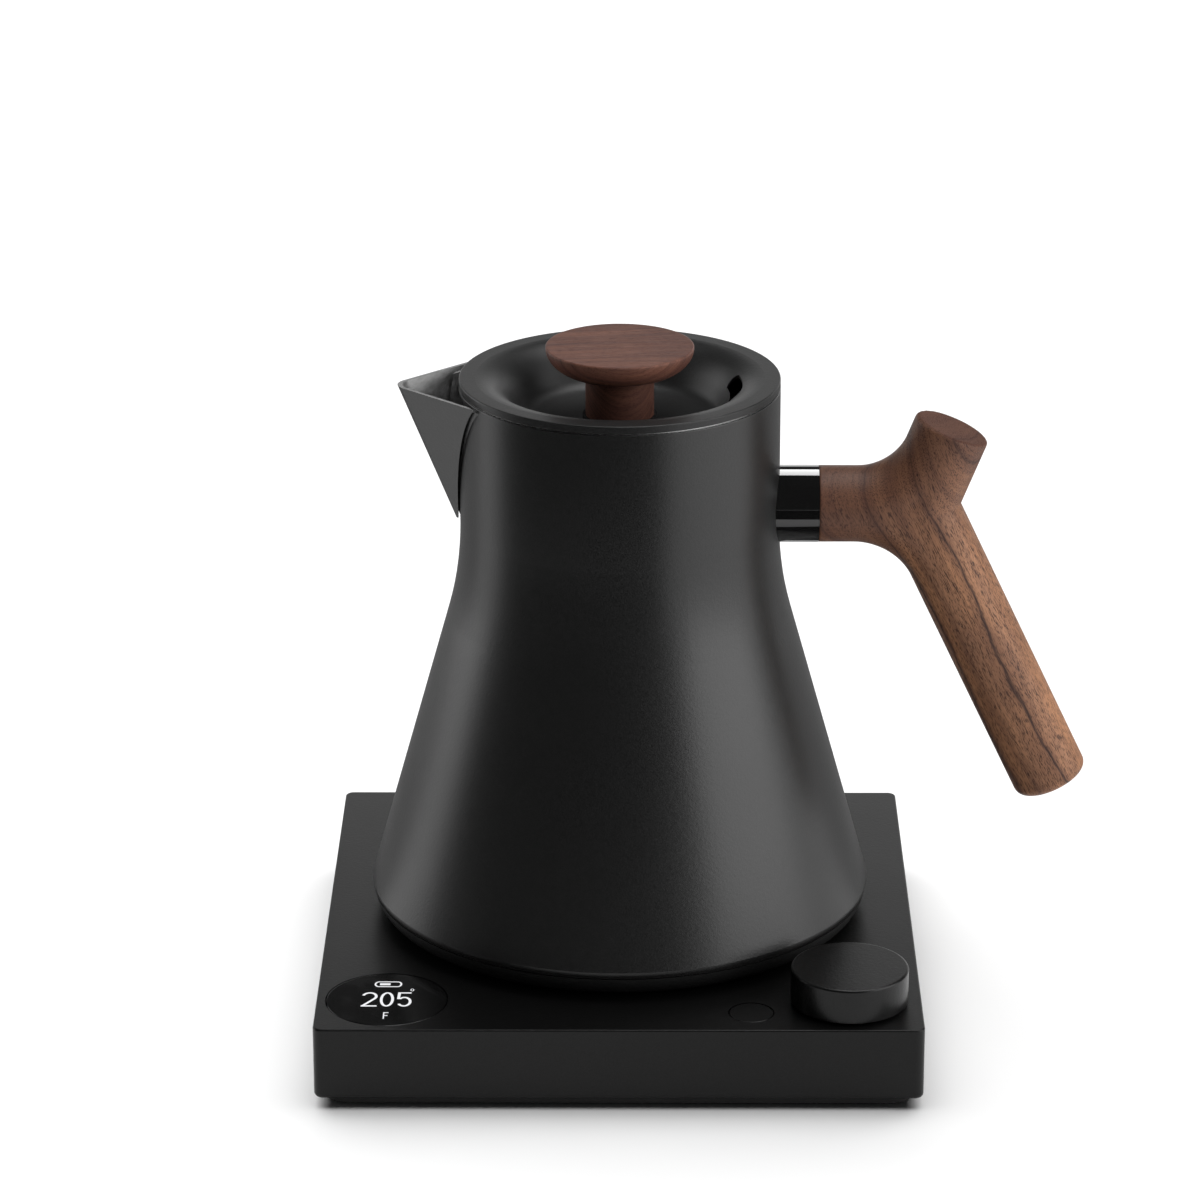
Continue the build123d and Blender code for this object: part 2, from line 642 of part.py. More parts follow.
def make_base_case():
    """The square cover of the base, open below, with bosses for its screws and the control board."""
    boss_top = CASE_ROOF + OVERLAP
    case = rounded_slab(BASE_SIDE, CASE_CORNER, CASE_BOTTOM, BASE_TOP)
    case = fillet(case.faces().sort_by(Axis.Z)[-1].edges(), CASE_TOP_ROUND)
    case = fillet(case.faces().sort_by(Axis.Z)[0].edges(), CASE_BOTTOM_ROUND)
    case -= rounded_slab(BASE_SIDE - 2 * CASE_WALL, CASE_INNER_CORNER, CASE_BOTTOM - OVERCUT, CASE_ROOF)
    for at in corners(CASE_SCREW_AT):
        case += disc(CASE_BOSS_R, CASE_BOSS_BOTTOM, boss_top, at)
        case -= disc(CASE_SCREW_R, CASE_BOSS_BOTTOM - OVERCUT, CASE_SCREW_TOP + 1.5, at)
    for at in CONTROL_POSTS:
        case += disc(2.6, CONTROL_BOARD_TOP, boss_top, at)
        case -= disc(POST_SCREW_R + 0.05, CONTROL_BOARD_TOP - OVERCUT, 21.5, at)
    case -= disc(DISPLAY_R + DISPLAY_GAP, BASE_TOP - DISPLAY_GLASS, BASE_TOP + OVERCUT, DISPLAY_AT)
    openings = [
        (DISPLAY_LEDGE_R, DISPLAY_AT),
        (ENCODER_BUSH_R + 0.2, DIAL_AT),
        (BUTTON_R + BUTTON_GAP, BUTTON_AT),
        (HUB_R + 0.3, (0, KETTLE_Y)),
    ]
    for radius, at in openings:
        case -= disc(radius, CASE_ROOF - OVERCUT, BASE_TOP + OVERCUT, at)
    back = BASE_SIDE / 2
    return case - along_back(CORD_BUSH_R + 0.1, back - 1.5 * CASE_WALL, back + 1.5 * CASE_WALL)


def along_back(radius, start, end):
    """A cylinder along Y at the height of the mains lead."""
    return Pos(0, (start + end) / 2, CORD_Z) * Rot(90, 0, 0) * Cylinder(radius, end - start)


def make_cord_bush():
    """A flanged rubber bush in the back wall, with a clear bore for a mains lead."""
    back = BASE_SIDE / 2
    inside = back - CASE_WALL
    outer_end = back + CORD_BUSH_PROUD
    bush = along_back(CORD_BUSH_R, outer_end - CORD_BUSH_LENGTH, outer_end)
    bush += along_back(CORD_BUSH_R + CORD_BUSH_INNER_FLANGE, inside - 2, inside)
    bush += along_back(CORD_BUSH_R + CORD_BUSH_OUTER_FLANGE, back, outer_end)
    return bush - along_back(CORD_BORE_R, outer_end - CORD_BUSH_LENGTH - OVERCUT, outer_end + OVERCUT)


def make_base_bottom_cover():
    """A shallow tray inside the casing's edge, with screw wells and posts for the power board."""
    side = BASE_SIDE - 2 * COVER_INSET
    upper = FOOT_HEIGHT + COVER_SHEET
    tray = rounded_slab(side, COVER_CORNER, FOOT_HEIGHT, COVER_TOP)
    tray -= rounded_slab(side - 2 * COVER_SHEET, COVER_CORNER - COVER_SHEET, upper, COVER_TOP + OVERCUT)
    for at in corners(CASE_SCREW_AT):
        tray += disc(COVER_WELL_R, upper - OVERCUT, COVER_TOP, at)
    for at in POWER_POSTS:
        tray += disc(2.8, upper - OVERCUT, POWER_BOARD_Z, at)
    for at in corners(CASE_SCREW_AT):
        tray -= disc(CASE_SCREW_HEAD_R + 0.3, FOOT_HEIGHT - OVERCUT, CASE_BOTTOM, at)
        tray -= disc(CASE_SCREW_R + 0.2, FOOT_HEIGHT - OVERCUT, COVER_TOP + OVERCUT, at)
    return tray


def make_base_foot_ring():
    """The rubber frame that the base stands on."""
    inner_side = FOOT_SIDE - 2 * FOOT_WIDTH
    outer = rounded_slab(FOOT_SIDE, FOOT_OUTER_CORNER, 0, FOOT_HEIGHT)
    return outer - rounded_slab(inner_side, FOOT_INNER_CORNER, -OVERCUT, FOOT_HEIGHT + OVERCUT)


def make_base_screws():
    """The four screws that hold the casing to its cover."""
    return group([
        disc(CASE_SCREW_HEAD_R, CASE_BOTTOM - CASE_SCREW_HEAD, CASE_BOTTOM, at)
        + disc(CASE_SCREW_R, CASE_BOTTOM, CASE_SCREW_TOP, at)
        for at in corners(CASE_SCREW_AT)
    ])


def make_power_hub():
    """The base's round plug: a tower with a centre hole and a ring slot, flanged under the casing."""
    hub = disc(HUB_R, HUB_BOTTOM, HUB_TOP)
    hub += disc(HUB_FLANGE_R, CASE_ROOF - HUB_FLANGE, CASE_ROOF) + disc(HUB_NECK_R, HUB_BOTTOM, CASE_ROOF)
    hub = rounded_top(hub, HUB_EDGE_ROUND)
    hub -= disc(HUB_HOLE_R, HUB_WELL_BOTTOM, HUB_TOP + OVERCUT)
    return hub - ring(*HUB_SLOT, HUB_WELL_BOTTOM, HUB_TOP + OVERCUT)


def make_hub_contacts():
    """Spring contacts, drawn as a pin at the bottom of the hole and two blades in the ring slot."""
    blade_width, pin_height, lift = 8, 2, 1
    bottom = HUB_WELL_BOTTOM + lift
    blades = ring(*HUB_BLADE, bottom, HUB_BLADE_TOP) & block(blade_width, 3 * HUB_R, 0, HUB_TOP)
    return group([disc(HUB_PIN_R, HUB_WELL_BOTTOM, HUB_WELL_BOTTOM + pin_height), blades])


def make_display_window():
    """The black glass over the display, flush with the base's top."""
    lens = disc(DISPLAY_R, BASE_TOP - DISPLAY_GLASS, BASE_TOP, DISPLAY_AT)
    return rounded_top(lens, DISPLAY_EDGE_ROUND)


def make_display_holder():
    """A tube that stands on the control board and locates the display under its window."""
    clearance, wall = 0.2, 1.6
    inner_r = DISPLAY_MODULE_R + clearance
    return ring(inner_r + wall, inner_r, CONTROL_BOARD_TOP, CASE_ROOF, DISPLAY_AT)


def make_display_module():
    """A round panel on a square driver block."""
    driver_side = 18
    panel = disc(DISPLAY_MODULE_R, DISPLAY_GLASS_BOTTOM, BASE_TOP - DISPLAY_GLASS - 0.2, DISPLAY_AT)
    driver_top = DISPLAY_GLASS_BOTTOM + OVERLAP
    return panel + block(driver_side, driver_side, DISPLAY_MODULE_BOTTOM, driver_top, DISPLAY_AT)


def make_control_board():
    """The board under the controls, hung from the casing's posts."""
    board = block(*CONTROL_BOARD_SIZE, CONTROL_BOARD_Z, CONTROL_BOARD_TOP, CONTROL_BOARD_AT)
    for at in CONTROL_POSTS:
        board -= disc(POST_SCREW_R + 0.25, CONTROL_BOARD_Z - OVERCUT, CONTROL_BOARD_TOP + OVERCUT, at)
    return board


def make_board_screws():
    """The four screws that hold the control board to the casing."""
    z = CONTROL_BOARD_Z
    head, length = 1.4, 6
    return group([
        disc(POST_SCREW_HEAD_R, z - head, z, at) + disc(POST_SCREW_R, z, z + length, at)
        for at in CONTROL_POSTS
    ])


def make_power_board():
    """The mains board at the back of the base."""
    return block(*POWER_BOARD_SIZE, POWER_BOARD_Z, POWER_BOARD_TOP, (0, POWER_BOARD_Y))


def on_power_board(x_size, y_size, height, at):
    """A moulded case with softened corners that stands on the mains board."""
    corner = 0.6
    case = block(x_size, y_size, POWER_BOARD_TOP, POWER_BOARD_TOP + height, at)
    return fillet(case.edges().filter_by(Axis.Z), corner)


def make_power_relay():
    """The relay that switches the element."""
    return on_power_board(19, 15.5, 11.5, (-38, 48))


def make_power_transformer():
    """A small transformer: a flat core through a wound bobbin."""
    at = (-6, 52)
    return on_power_board(22, 8, 11.8, at) + on_power_board(14, 16, 9.5, at)


def make_power_capacitor():
    """A boxed mains capacitor."""
    return on_power_board(18, 7, 11, (26, 44))


def make_mains_terminals():
    """A two-way terminal block with its screw holes."""
    height = 8
    top = POWER_BOARD_TOP + height
    body = on_power_board(16, 9, height, TERMINALS_AT)
    for side in (-0.5, 0.5):
        hole = (TERMINALS_AT[0] + side * TERMINAL_SPACING, TERMINALS_AT[1])
        body -= disc(1.8, top - 2.6, top + OVERCUT, hole)
    return body


def make_encoder_body():
    """A square can on the board with a threaded bush that comes up through the casing."""
    body = block(ENCODER_SIDE, ENCODER_SIDE, CONTROL_BOARD_TOP, ENCODER_TOP, DIAL_AT)
    body += disc(ENCODER_BUSH_R, ENCODER_TOP - OVERCUT, ENCODER_BUSH_TOP, DIAL_AT)
    body -= disc(ENCODER_WELL_R, ENCODER_FLOOR, ENCODER_WELL_TOP, DIAL_AT)
    return body - disc(SHAFT_R + RUNNING_FIT, ENCODER_FLOOR + OVERCUT, ENCODER_BUSH_TOP + OVERCUT, DIAL_AT)


def make_encoder_nut():
    """The hexagon nut that clamps the encoder to the casing."""
    hexagon = Pos(*DIAL_AT, BASE_TOP) * extrude(RegularPolygon(ENCODER_NUT_R, 6), ENCODER_NUT)
    bore_top = BASE_TOP + ENCODER_NUT + OVERCUT
    return hexagon - disc(ENCODER_BUSH_R + RUNNING_FIT, BASE_TOP - OVERCUT, bore_top, DIAL_AT)


def make_encoder_plunger():
    """The push switch's plate, which the shaft presses down on its spring."""
    return disc(PLUNGER_R, PLUNGER_BOTTOM, SHAFT_BOTTOM, DIAL_AT)


def coil(radius, wire_r, bottom, top, turns, at):
    """A small compression spring between two heights."""
    height = top - bottom - 2 * wire_r
    line = Pos(at[0], at[1], bottom + wire_r) * Helix(height / turns, height, radius)
    return sweep(Plane(origin=line @ 0, z_dir=line % 0) * Circle(wire_r), path=line, is_frenet=True)


def make_encoder_spring():
    """The spring that brings the pressed dial back up."""
    coil_r, wire_r, turns = 2.2, 0.15, 4
    return coil(coil_r, wire_r, ENCODER_FLOOR, PLUNGER_BOTTOM, turns, DIAL_AT)


def make_encoder_shaft():
    """A round shaft with a flat that keys the dial."""
    return disc(SHAFT_R, SHAFT_BOTTOM, SHAFT_TOP, DIAL_AT) - shaft_flat(SHAFT_FLAT_Y)


def shaft_flat(reach):
    """The block that cuts the flat on the shaft, this far from the shaft's axis."""
    depth = 3
    return block(3 * SHAFT_R, depth, DIAL_BOSS_BOTTOM, DIAL_TOP, (DIAL_AT[0], DIAL_AT[1] - reach - depth / 2))


def make_control_dial():
    """A hollow cap with a centre boss on the shaft."""
    cap = rounded_top(disc(DIAL_R, DIAL_BOTTOM, DIAL_TOP, DIAL_AT), DIAL_EDGE_ROUND)
    cap -= disc(DIAL_R - DIAL_WALL, DIAL_BOTTOM - OVERCUT, DIAL_TOP - DIAL_ROOF, DIAL_AT)
    cap += disc(DIAL_BOSS_R, DIAL_BOSS_BOTTOM, DIAL_TOP - DIAL_ROOF + OVERLAP, DIAL_AT)
    key = disc(SHAFT_R + PRESS_FIT, DIAL_BOSS_BOTTOM - OVERCUT, SHAFT_TOP + 0.1, DIAL_AT)
    return cap - (key - shaft_flat(SHAFT_FLAT_Y + PRESS_FIT))


def make_button_cap():
    """A flush cap with a retaining flange below the casing and a stem onto the switch."""
    bottom = CASE_ROOF - 1.5
    cap = rounded_top(disc(BUTTON_R, bottom, BASE_TOP, BUTTON_AT), BUTTON_EDGE_ROUND)
    cap += disc(BUTTON_R + BUTTON_FLANGE, bottom, CASE_ROOF - 0.2, BUTTON_AT)
    return cap + disc(BUTTON_STEM_R, SWITCH_PLUNGER_TOP, CASE_ROOF - 1, BUTTON_AT)


def make_tact_switch():
    """A small square switch with a round well for its plunger and dome."""
    body = block(SWITCH_SIDE, SWITCH_SIDE, CONTROL_BOARD_TOP, SWITCH_TOP, BUTTON_AT)
    body -= disc(SWITCH_WELL_R, SWITCH_WELL, SWITCH_WELL_TOP, BUTTON_AT)
    guide_r = SWITCH_PLUNGER_R + RUNNING_FIT
    return body - disc(guide_r, SWITCH_DOME_TOP - 0.3, SWITCH_TOP + OVERCUT, BUTTON_AT)


def make_switch_plunger():
    """The pin between the button's stem and the snap dome."""
    return disc(SWITCH_PLUNGER_R, SWITCH_DOME_TOP, SWITCH_PLUNGER_TOP, BUTTON_AT)


def make_switch_dome():
    """A snap dome: a shallow cap of sheet that springs back."""
    rise = SWITCH_DOME_TOP - SWITCH_WELL
    sphere_r = (SWITCH_DOME_R**2 + rise**2) / (2 * rise)
    centre = Pos(*BUTTON_AT, SWITCH_DOME_TOP - sphere_r)
    shell = centre * Sphere(sphere_r) - centre * Sphere(sphere_r - SWITCH_DOME_SHEET)
    return shell & disc(SWITCH_DOME_R, SWITCH_WELL, SWITCH_DOME_TOP + OVERCUT, BUTTON_AT)


# ---------------------------------------------------------------- assembly

KETTLE_AXIS_NODES = {
    "kettle_body": make_kettle_body,
    "pour_spout": make_pour_spout,
    "kettle_floor": make_kettle_floor,
    "heat_spreader": make_heat_spreader,
    "heating_element": make_heating_element,
    "thermal_cutout": make_thermal_cutout,
    "temperature_probe": make_temperature_probe,
    "probe_seal": make_probe_seal,
    "cover_posts": make_cover_posts,
    "cover_screws": make_cover_screws,
    "kettle_bottom_cover": make_kettle_bottom_cover,
    "kettle_socket": make_kettle_socket,
    "socket_contacts": make_socket_contacts,
    "handle": make_handle,
    "handle_collar": make_handle_collar,
    "handle_stud": make_handle_stud,
    "handle_insert": make_handle_insert,
    "lid_top": make_lid_top,
    "lid_plug": make_lid_plug,
    "lid_seal": make_lid_seal,
    "lid_knob": make_lid_knob,
    "knob_washer": make_knob_washer,
    "knob_screw": make_knob_screw,
    "power_hub": make_power_hub,
    "hub_contacts": make_hub_contacts,
}

BASE_NODES = {
    "base_case": make_base_case,
    "cord_bush": make_cord_bush,
    "base_bottom_cover": make_base_bottom_cover,
    "base_foot_ring": make_base_foot_ring,
    "base_screws": make_base_screws,
    "display_window": make_display_window,
    "display_holder": make_display_holder,
    "display_module": make_display_module,
    "control_board": make_control_board,
    "board_screws": make_board_screws,
    "power_board": make_power_board,
    "power_relay": make_power_relay,
    "power_transformer": make_power_transformer,
    "power_capacitor": make_power_capacitor,
    "mains_terminals": make_mains_terminals,
    "encoder_body": make_encoder_body,
    "encoder_nut": make_encoder_nut,
    "encoder_plunger": make_encoder_plunger,
    "encoder_spring": make_encoder_spring,
    "encoder_shaft": make_encoder_shaft,
    "control_dial": make_control_dial,
    "button_cap": make_button_cap,
    "tact_switch": make_tact_switch,
    "switch_plunger": make_switch_plunger,
    "switch_dome": make_switch_dome,
}

os.makedirs("parts", exist_ok=True)
for name, make in KETTLE_AXIS_NODES.items():
    export_step(on_kettle_axis(make()), f"parts/{name}.step")
for name, make in BASE_NODES.items():
    export_step(make(), f"parts/{name}.step")
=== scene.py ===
"""The looks of the electric kettle: camera, light and floor, the finish of every piece, the walnut
handle's blended shape and the signs on the display. Metres, in the CAD model's frame.
"""
import json
import math

import bmesh
import bpy
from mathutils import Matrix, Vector


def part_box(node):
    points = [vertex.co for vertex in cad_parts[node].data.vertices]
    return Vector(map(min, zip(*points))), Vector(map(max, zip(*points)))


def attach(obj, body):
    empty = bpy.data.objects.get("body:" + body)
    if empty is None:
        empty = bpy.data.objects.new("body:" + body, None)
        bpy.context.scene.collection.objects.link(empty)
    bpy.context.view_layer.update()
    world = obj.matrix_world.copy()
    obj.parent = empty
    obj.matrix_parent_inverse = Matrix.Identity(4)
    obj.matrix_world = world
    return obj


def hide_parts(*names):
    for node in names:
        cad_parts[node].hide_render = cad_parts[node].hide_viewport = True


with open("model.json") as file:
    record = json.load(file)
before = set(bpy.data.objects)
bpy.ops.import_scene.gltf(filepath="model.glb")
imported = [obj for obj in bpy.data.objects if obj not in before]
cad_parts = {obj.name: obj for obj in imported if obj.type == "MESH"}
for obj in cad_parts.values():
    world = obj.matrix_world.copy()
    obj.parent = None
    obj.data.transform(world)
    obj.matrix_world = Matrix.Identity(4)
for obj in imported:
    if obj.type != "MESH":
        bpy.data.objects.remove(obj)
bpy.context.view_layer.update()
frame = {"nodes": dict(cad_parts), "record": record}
nodes = frame["nodes"]
scene = bpy.context.scene

MM = 0.001

# --- places that come from the CAD model ---
body_low, body_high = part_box("kettle_body")
KETTLE_AXIS = Vector(((body_low.x + body_high.x) / 2, (body_low.y + body_high.y) / 2, 0))
window_low, window_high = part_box("display_window")
DISPLAY_CENTRE = (window_low + window_high) / 2
collar_low, collar_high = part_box("handle_collar")
HANDLE_AXIS = Vector((0, (collar_low.y + collar_high.y) / 2, (collar_low.z + collar_high.z) / 2))
HANDLE_START = collar_high.x

# --- camera ---
CAMERA_AT = Vector((0.0042, -1.3117, 0.6139))
CAMERA_PITCH = math.radians(20.573)
CAMERA_YAW = math.radians(0.18)
CAMERA_LENS = 144.98
CAMERA_SENSOR = 36
CAMERA_CLIP = (0.05, 60)
PICTURE_SIZE = 1200
CAMERA_SHIFT_X = -20 / PICTURE_SIZE

# --- studio ---
FLOOR_SIZE = 16.0
FLOOR_SHADE = 0.9
# The backdrop's strength as seen, and as a light. Both multiply the background node's own grey, 0.8.
WORLD_SEEN = 1.3
WORLD_LIT = 0.06
# The floor's own light.
SKY_SPREAD = math.radians(95)
SKY_LEAN = math.radians(-20)
SKY_STRENGTH = 4.4
PANEL_TARGET = (0, 0, 0.1)
COLLAR_TARGET = (0.06, 0, 0.15)
FLAG_STEPS = 12
FLAG_LIFT = 1 * MM

# --- walnut ---
KNOB_GRAIN = (1, 0.10, 0)
GRIP_DIRECTION = Vector((0.436, 0, -0.900))
# Where one vein of the grip lies across its grain, and the gap to the next.
GRIP_VEIN_AT = 147.7 * MM
GRIP_VEIN_GAP = 14.7 * MM
# The grip grows paler from the first point to the second.
GRIP_DARK_END = (0.078, 0, 0.160)
GRIP_PALE_END = (0.098, 0, 0.126)
# The sawn end of the branch: a point on it, and the way that it faces.
BRANCH_END = (0.0956, 0.006, 0.1724)
BRANCH_DIRECTION = (0.369, 0, 0.929)
# Distances from the middle of a vein, how far the grain wanders, and where the sawn end's tone comes in.
VEIN_CORE = 0.12 * MM
VEIN_EDGE = 0.48 * MM
VEIN_SHADE_REACH = 2.6 * MM
WAVER = 8 * MM
# The sawn end's darker tone is partly end grain and partly painted shade on its top-facing face.
END_GRAIN_AND_SHADE_FADE = (-0.6 * MM, -0.1 * MM)

# --- walnut handle's mesh ---
VOXEL = 0.4 * MM
# A smoothing zone is its radius round the limbs' meeting point, and how far it goes out past that point.
MEETING_FROM_COLLAR = 29 * MM
UNSMOOTHED_STUB = 3 * MM
SMOOTHING_ZONES = ((32 * MM, 4 * MM), (30 * MM, 2 * MM), (28 * MM, 0))
SMOOTHING_PASSES = 4

# --- signs on the display. They lie just above its glass, and all but SIGN_LIFT is in mm from its centre ---
SIGN_LIFT = 0.03 * MM
# Left edge and width of each digit.
TWO_PLACE = (-7.2, 4.5)
ZERO_PLACE = (-1.95, 4.0)
FIVE_PLACE = (2.9, 4.2)
READING_LOW, READING_HIGH = -4.7, 4.7
READING_PEN = 0.78
DEGREE_AT = (7.0, 6.3)
DEGREE_RADII = (0.42, 0.7)
DEGREE_PEN = 0.24
UNIT_LEFT = -0.4
UNIT_LOW, UNIT_HIGH = -12.7, -8.5
# Height and right end of the unit's two bars.
UNIT_BARS = ((-8.73, 0.9), (-10.6, 0.7))
UNIT_UPRIGHT_PEN, UNIT_BAR_PEN = 0.36, 0.46
PILL_Y = 10.1
PILL_END_X = 2.6
PILL_RADII = (1.1, 1.6)
PILL_PEN = 0.5
PILL_FILL = (-2.4, 0.6)
PILL_FILL_PEN = 1.3
# Corners of a stroke are mitred as if no bend were sharper than this, in radians.
SHARPEST_BEND = 2.4


# ---------------------------------------------------------------- camera, light and floor

def add(name, data, body=None):
    """A new object in the scene, riding on a CAD body if one is named."""
    made = bpy.data.objects.new(name, data)
    scene.collection.objects.link(made)
    if body:
        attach(made, body)
    return made


def make_camera():
    """The view that the kettle is shown from."""
    data = bpy.data.cameras.new("camera")
    data.sensor_width = CAMERA_SENSOR
    data.lens = CAMERA_LENS
    data.shift_x = CAMERA_SHIFT_X
    data.clip_start, data.clip_end = CAMERA_CLIP
    camera = add("camera", data)
    camera.location = CAMERA_AT
    camera.rotation_euler = (math.pi / 2 - CAMERA_PITCH, 0, CAMERA_YAW)
    scene.camera = camera


def link_light(light, only_on=None, not_on=()):
    """Light linking: only_on is the one object that is lit, and not_on lists the ones that are left out."""
    receivers = bpy.data.collections.new(light.name + "_receivers")
    light.light_linking.receiver_collection = receivers
    for receiver in [only_on] if only_on else not_on:
        receivers.objects.link(receiver)
    if not only_on:
        for receiver in receivers.collection_objects:
            receiver.light_linking.link_state = "EXCLUDE"


def make_panel(name, at, target, width, height, radiance, only_on=None, not_on=()):
    """A soft rectangular light that faces target. A panel's power is its radiance times pi times its area."""
    data = bpy.data.lights.new(name, "AREA")
    data.shape = "RECTANGLE"
    data.size = width
    data.size_y = height
    data.energy = radiance * math.pi * width * height
    light = add(name, data)
    light.location = at
    light.rotation_euler = (Vector(target) - Vector(at)).to_track_quat("-Z", "Y").to_euler()
    light.visible_camera = False
    link_light(light, only_on, not_on)


def make_floor_sky(floor):
    """A broad soft light on the floor alone, the same at any distance, leaning in from the back."""
    data = bpy.data.lights.new("floor_sky", "SUN")
    data.angle = SKY_SPREAD
    data.energy = SKY_STRENGTH
    light = add("floor_sky", data)
    light.rotation_euler = (SKY_LEAN, 0, 0)
    link_light(light, only_on=floor)


def on_circle(azimuth, distance, height):
    """A point round the kettle. Azimuth is in degrees: 0 is in front, and 90 is on the handle's side."""
    a = math.radians(azimuth)
    return Vector((math.sin(a) * distance, -math.cos(a) * distance, height))


def make_lights(floor):
    """Four soft panels light the kettle. The floor has a light of its own, so that it is evenly pale all
    round, and so has the gloss collar, for its clean reflections. The last three numbers of each panel are
    its width, its height and its radiance."""
    collar = nodes["handle_collar"]
    make_panel("left_panel", on_circle(-117, 1.5, 0.45), PANEL_TARGET, 1.15, 1.2, 2.1, not_on=[floor])
    make_panel("right_panel", on_circle(69, 1.4, 0.62), PANEL_TARGET, 1.5, 1.4, 3.0, not_on=[floor])
    make_panel("top_panel", (0.35, 0.25, 1.9), PANEL_TARGET, 1.5, 1.3, 4.0, not_on=[floor, collar])
    make_panel("back_panel", (0.3, 1.5, 0.36), PANEL_TARGET, 2.0, 0.6, 1.2, not_on=[floor])
    make_floor_sky(floor)
    make_panel("collar_panel", (0.1, 0.77, 1.2), COLLAR_TARGET, 0.8, 0.68, 10.0, only_on=collar)


def make_world():
    """A pale backdrop for the eye, and only a little light from it."""
    world = bpy.data.worlds.new("studio")
    scene.world = world
    world.use_nodes = True
    tree = world.node_tree
    tree.nodes.clear()
    path = tree.nodes.new("ShaderNodeLightPath")
    strength = tree.nodes.new("ShaderNodeMapRange")
    strength.inputs["To Min"].default_value = WORLD_LIT
    strength.inputs["To Max"].default_value = WORLD_SEEN
    background = tree.nodes.new("ShaderNodeBackground")
    out = tree.nodes.new("ShaderNodeOutputWorld")
    tree.links.new(path.outputs["Is Camera Ray"], strength.inputs["Value"])
    tree.links.new(strength.outputs["Result"], background.inputs["Strength"])
    tree.links.new(background.outputs["Background"], out.inputs["Surface"])


def plain_surface(name, shade, roughness):
    """A dull even surface for the studio. No piece of the kettle has it."""
    surface = bpy.data.materials.new(name)
    surface.use_nodes = True
    shader = surface.node_tree.nodes["Principled BSDF"]
    shader.inputs["Base Color"].default_value = (shade, shade, shade, 1)
    shader.inputs["Roughness"].default_value = roughness
    shader.inputs["Specular IOR Level"].default_value = 0.0
    return surface


def make_floor():
    """The pale floor, wide enough to reach the horizon."""
    half = FLOOR_SIZE / 2
    corners = [(-half, -half, 0), (half, -half, 0), (half, half, 0), (-half, half, 0)]
    mesh = bpy.data.meshes.new("floor")
    mesh.from_pydata(corners, [], [(0, 1, 2, 3)])
    mesh.materials.append(plain_surface("studio_floor", FLOOR_SHADE, 0.9))
    floor = add("floor", mesh)
    return floor


def make_flag(name, shade, start, end, near, far):
    """A dark card on the floor, from azimuth start to end and from near to far. It can't be seen directly
    and casts no shadow: it only keeps the bright floor out of the kettle's reflections."""
    azimuths = [start + (end - start) * i / FLAG_STEPS for i in range(FLAG_STEPS + 1)]
    points = [on_circle(a, reach, FLAG_LIFT) for reach in (near, far) for a in azimuths]
    count = FLAG_STEPS + 1
    mesh = bpy.data.meshes.new(name)
    mesh.from_pydata(points, [], [(i, i + 1, count + i + 1, count + i) for i in range(FLAG_STEPS)])
    mesh.materials.append(plain_surface(name + "_card", shade, 1.0))
    flag = add(name, mesh)
    flag.visible_camera = False
    flag.visible_shadow = False
    flag.visible_diffuse = False


def set_view():
    """Plain display colours, with no film look."""
    scene.view_settings.view_transform = "Standard"
    scene.view_settings.look = "None"


# ---------------------------------------------------------------- building materials

def grey(value):
    """A neutral colour."""
    return (value, value, value, 1)


def shade_of(colour, factor):
    """The colour, lighter or darker by a factor."""
    return (*[min(1, c * factor) for c in colour[:3]], 1)


